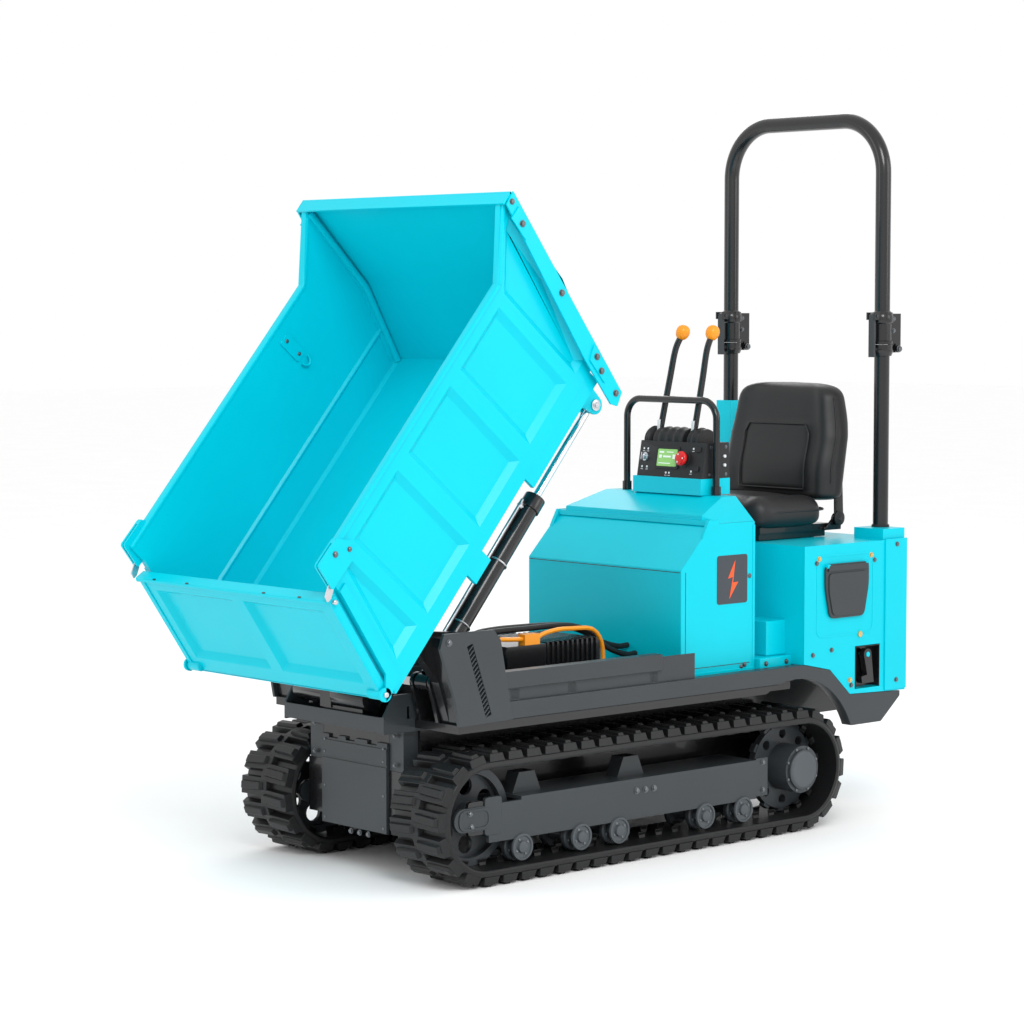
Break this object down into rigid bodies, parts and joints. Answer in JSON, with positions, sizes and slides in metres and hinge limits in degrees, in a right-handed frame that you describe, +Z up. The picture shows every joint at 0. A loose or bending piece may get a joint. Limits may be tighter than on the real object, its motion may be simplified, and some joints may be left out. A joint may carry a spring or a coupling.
{
  "type": "ride-on tracked mini dumper",
  "caption": "Electric tracked power wheelbarrow with driver's seat: tipping tray with tailgate on twin cylinders, rubber tracks, low hood with console, and a folding roll hoop.",
  "frame": {"origin": "middle of the overall box's underside, on the ground", "axes": "+Z up; -Y forward, towards the tray; +X to the driver's left"},
  "size_m": [0.976, 2.4919, 2.267],
  "materials": {
    "cyan_paint": "gloss paint",
    "grey_paint": "satin paint",
    "black_steel": "semi-gloss paint",
    "track_rubber": "matte moulded rubber",
    "hose_rubber": "satin rubber",
    "black_plastic": "fine texture",
    "screen_plastic": "clear cover",
    "red_plastic": "gloss",
    "orange_plastic": "gloss",
    "pale_plastic": "satin",
    "zinc_steel": "zinc plated",
    "chrome_rod": "polished",
    "wheel_steel": "satin paint",
    "seat_cover": "soft vinyl"
  },
  "bodies": {
    "chassis": {"main_frame": "black_steel", "front_plates": "grey_paint", "side_rails": "grey_paint", "louvre_covers": "grey_paint", "track_frames": "grey_paint", "rubber_track_left": "track_rubber", "rubber_track_right": "track_rubber", "travel_motors": "black_steel", "hood": "cyan_paint", "console_plinth": "cyan_paint", "console_housing": "black_plastic", "display_screen": "screen_plastic", "guard_bar": "black_steel", "lever_boots": "black_plastic", "seat_box": "cyan_paint", "rear_covers": "cyan_paint", "rops_posts": "black_steel", "power_unit": "black_steel", "battery_pack": "black_plastic", "hydraulic_pump": "black_steel", "hydraulic_hoses": "hose_rubber", "power_cable": "orange_plastic", "seat_slides": "black_steel", "body_bolts": "zinc_steel"},
    "tray": {"tray_tub": "cyan_paint", "tray_underframe": "cyan_paint", "headboard_bars": "cyan_paint", "tray_bolts": "zinc_steel"},
    "tailgate": {"tailgate": "cyan_paint"},
    "gate_latch_left": {"tailgate_latch_left": "zinc_steel"},
    "gate_latch_right": {"tailgate_latch_right": "zinc_steel"},
    "tip_barrels": {"cylinder_barrels": "black_steel"},
    "tip_rods": {"cylinder_rods": "chrome_rod"},
    "seat_frame": {"seat_base": "black_steel", "seat_cushion": "seat_cover"},
    "backrest": {"seat_backrest": "seat_cover"},
    "roll_hoop": {"rops_hoop": "black_steel"},
    "hoop_latch_left": {"rops_latch_left": "grey_paint"},
    "hoop_latch_right": {"rops_latch_right": "grey_paint"},
    "lever_left": {"control_lever_left": "black_plastic"},
    "lever_right": {"control_lever_right": "black_plastic"},
    "emergency_stop": {"stop_button": "red_plastic"},
    "upper_button": {"push_button_upper": "pale_plastic"},
    "lower_button": {"push_button_lower": "pale_plastic"},
    "charge_flap": {"charging_flap": "grey_paint"},
    "hook": {"tow_hook": "black_steel"},
    "drive_sprocket_left": {"sprocket_left": "wheel_steel"},
    "drive_sprocket_right": {"sprocket_right": "wheel_steel"},
    "front_idler_left": {"idler_left": "wheel_steel"},
    "front_idler_right": {"idler_right": "wheel_steel"},
    "road_roller_left_1": {"roller_left_1": "wheel_steel"},
    "road_roller_left_2": {"roller_left_2": "wheel_steel"},
    "road_roller_left_3": {"roller_left_3": "wheel_steel"},
    "road_roller_left_4": {"roller_left_4": "wheel_steel"},
    "road_roller_left_5": {"roller_left_5": "wheel_steel"},
    "road_roller_right_1": {"roller_right_1": "wheel_steel"},
    "road_roller_right_2": {"roller_right_2": "wheel_steel"},
    "road_roller_right_3": {"roller_right_3": "wheel_steel"},
    "road_roller_right_4": {"roller_right_4": "wheel_steel"},
    "road_roller_right_5": {"roller_right_5": "wheel_steel"}
  },
  "joints": [
    {"name": "tray_tip", "type": "hinge", "parent": "chassis", "child": "tray", "pos_m": [0, -0.82, 0.715], "axis": [1, 0, 0], "range_deg": [-50, 0]},
    {"name": "cylinder_swing", "type": "hinge", "parent": "chassis", "child": "tip_barrels", "pos_m": [0, -0.722, 0.578], "axis": [1, 0, 0], "range_deg": [-52, 0]},
    {"name": "rod_stroke", "type": "slide", "parent": "tip_barrels", "child": "tip_rods", "axis": [0, 0.6375, 0.7704], "range_m": [-0.141, 0]},
    {"name": "tailgate_open", "type": "hinge", "parent": "tray", "child": "tailgate", "pos_m": [0, -1.00943, 0.58415], "axis": [1, 0, 0], "range_deg": [0, 95]},
    {"name": "gate_latch_left_swing", "type": "hinge", "parent": "tray", "child": "gate_latch_left", "pos_m": [0.457, -1.18811, 0.97949], "axis": [1, 0, 0], "range_deg": [-60, 0]},
    {"name": "gate_latch_right_swing", "type": "hinge", "parent": "tray", "child": "gate_latch_right", "pos_m": [-0.457, -1.18811, 0.97949], "axis": [1, 0, 0], "range_deg": [-60, 0]},
    {"name": "seat_slide", "type": "slide", "parent": "chassis", "child": "seat_frame", "axis": [0, 1, 0], "range_m": [-0.09, 0.03]},
    {"name": "backrest_recline", "type": "hinge", "parent": "seat_frame", "child": "backrest", "pos_m": [0, 1.1, 0.947], "axis": [1, 0, 0], "range_deg": [-20, 0]},
    {"name": "hoop_fold", "type": "hinge", "parent": "chassis", "child": "roll_hoop", "pos_m": [0, 1.234, 1.502], "axis": [1, 0, 0], "range_deg": [-165, 0]},
    {"name": "hoop_latch_left_swing", "type": "hinge", "parent": "roll_hoop", "child": "hoop_latch_left", "pos_m": [0.337, 1.129, 1.608], "axis": [1, 0, 0], "range_deg": [-100, 0]},
    {"name": "hoop_latch_right_swing", "type": "hinge", "parent": "roll_hoop", "child": "hoop_latch_right", "pos_m": [-0.337, 1.129, 1.608], "axis": [1, 0, 0], "range_deg": [-100, 0]},
    {"name": "control_lever_left_pull", "type": "hinge", "parent": "chassis", "child": "lever_left", "pos_m": [0.083, 0.566, 1.19], "axis": [1, 0, 0], "range_deg": [-22, 0]},
    {"name": "control_lever_right_pull", "type": "hinge", "parent": "chassis", "child": "lever_right", "pos_m": [-0.069, 0.566, 1.19], "axis": [1, 0, 0], "range_deg": [-22, 0]},
    {"name": "stop_press", "type": "slide", "parent": "chassis", "child": "emergency_stop", "axis": [0, -0.9844, 0.1758], "range_m": [-0.006, 0], "stiffness_N_per_m": 1500},
    {"name": "upper_button_press", "type": "slide", "parent": "chassis", "child": "upper_button", "axis": [1, 0, 0], "range_m": [-0.003, 0], "stiffness_N_per_m": 400},
    {"name": "lower_button_press", "type": "slide", "parent": "chassis", "child": "lower_button", "axis": [1, 0, 0], "range_m": [-0.003, 0], "stiffness_N_per_m": 400},
    {"name": "charging_flap_lift", "type": "hinge", "parent": "chassis", "child": "charge_flap", "pos_m": [0.429, 0.9115, 0.822], "axis": [0, 1, 0], "range_deg": [-110, 0]},
    {"name": "tow_hook_swing", "type": "hinge", "parent": "chassis", "child": "hook", "pos_m": [0.409, 1.02, 0.528], "axis": [1, 0, 0], "range_deg": [-15, 15]},
    {"name": "sprocket_left_spin", "type": "hinge", "parent": "chassis", "child": "drive_sprocket_left", "pos_m": [0.35, 0.685, 0.195], "axis": [1, 0, 0], "continuous": true},
    {"name": "idler_left_spin", "type": "hinge", "parent": "chassis", "child": "front_idler_left", "pos_m": [0.35, -0.635, 0.195], "axis": [1, 0, 0], "continuous": true},
    {"name": "roller_left_1_spin", "type": "hinge", "parent": "chassis", "child": "road_roller_left_1", "pos_m": [0.35, -0.483, 0.0955], "axis": [1, 0, 0], "continuous": true},
    {"name": "roller_left_2_spin", "type": "hinge", "parent": "chassis", "child": "road_roller_left_2", "pos_m": [0.35, -0.25, 0.0955], "axis": [1, 0, 0], "continuous": true},
    {"name": "roller_left_3_spin", "type": "hinge", "parent": "chassis", "child": "road_roller_left_3", "pos_m": [0.35, -0.096, 0.0955], "axis": [1, 0, 0], "continuous": true},
    {"name": "roller_left_4_spin", "type": "hinge", "parent": "chassis", "child": "road_roller_left_4", "pos_m": [0.35, 0.268, 0.0955], "axis": [1, 0, 0], "continuous": true},
    {"name": "roller_left_5_spin", "type": "hinge", "parent": "chassis", "child": "road_roller_left_5", "pos_m": [0.35, 0.435, 0.0955], "axis": [1, 0, 0], "continuous": true},
    {"name": "sprocket_right_spin", "type": "hinge", "parent": "chassis", "child": "drive_sprocket_right", "pos_m": [-0.35, 0.685, 0.195], "axis": [1, 0, 0], "continuous": true},
    {"name": "idler_right_spin", "type": "hinge", "parent": "chassis", "child": "front_idler_right", "pos_m": [-0.35, -0.635, 0.195], "axis": [1, 0, 0], "continuous": true},
    {"name": "roller_right_1_spin", "type": "hinge", "parent": "chassis", "child": "road_roller_right_1", "pos_m": [-0.35, -0.483, 0.0955], "axis": [1, 0, 0], "continuous": true},
    {"name": "roller_right_2_spin", "type": "hinge", "parent": "chassis", "child": "road_roller_right_2", "pos_m": [-0.35, -0.25, 0.0955], "axis": [1, 0, 0], "continuous": true},
    {"name": "roller_right_3_spin", "type": "hinge", "parent": "chassis", "child": "road_roller_right_3", "pos_m": [-0.35, -0.096, 0.0955], "axis": [1, 0, 0], "continuous": true},
    {"name": "roller_right_4_spin", "type": "hinge", "parent": "chassis", "child": "road_roller_right_4", "pos_m": [-0.35, 0.268, 0.0955], "axis": [1, 0, 0], "continuous": true},
    {"name": "roller_right_5_spin", "type": "hinge", "parent": "chassis", "child": "road_roller_right_5", "pos_m": [-0.35, 0.435, 0.0955], "axis": [1, 0, 0], "continuous": true}
  ],
  "couplings": [
    {"joint": "cylinder_swing", "follows": "tray_tip", "ratio": 1.0333},
    {"joint": "rod_stroke", "follows": "tray_tip", "m_per_rad": 0.1602},
    {"joint": "idler_left_spin", "follows": "sprocket_left_spin", "ratio": 1},
    {"joint": "roller_left_1_spin", "follows": "sprocket_left_spin", "ratio": 3.2222},
    {"joint": "roller_left_2_spin", "follows": "sprocket_left_spin", "ratio": 3.2222},
    {"joint": "roller_left_3_spin", "follows": "sprocket_left_spin", "ratio": 3.2222},
    {"joint": "roller_left_4_spin", "follows": "sprocket_left_spin", "ratio": 3.2222},
    {"joint": "roller_left_5_spin", "follows": "sprocket_left_spin", "ratio": 3.2222},
    {"joint": "idler_right_spin", "follows": "sprocket_right_spin", "ratio": 1},
    {"joint": "roller_right_1_spin", "follows": "sprocket_right_spin", "ratio": 3.2222},
    {"joint": "roller_right_2_spin", "follows": "sprocket_right_spin", "ratio": 3.2222},
    {"joint": "roller_right_3_spin", "follows": "sprocket_right_spin", "ratio": 3.2222},
    {"joint": "roller_right_4_spin", "follows": "sprocket_right_spin", "ratio": 3.2222},
    {"joint": "roller_right_5_spin", "follows": "sprocket_right_spin", "ratio": 3.2222}
  ]
}
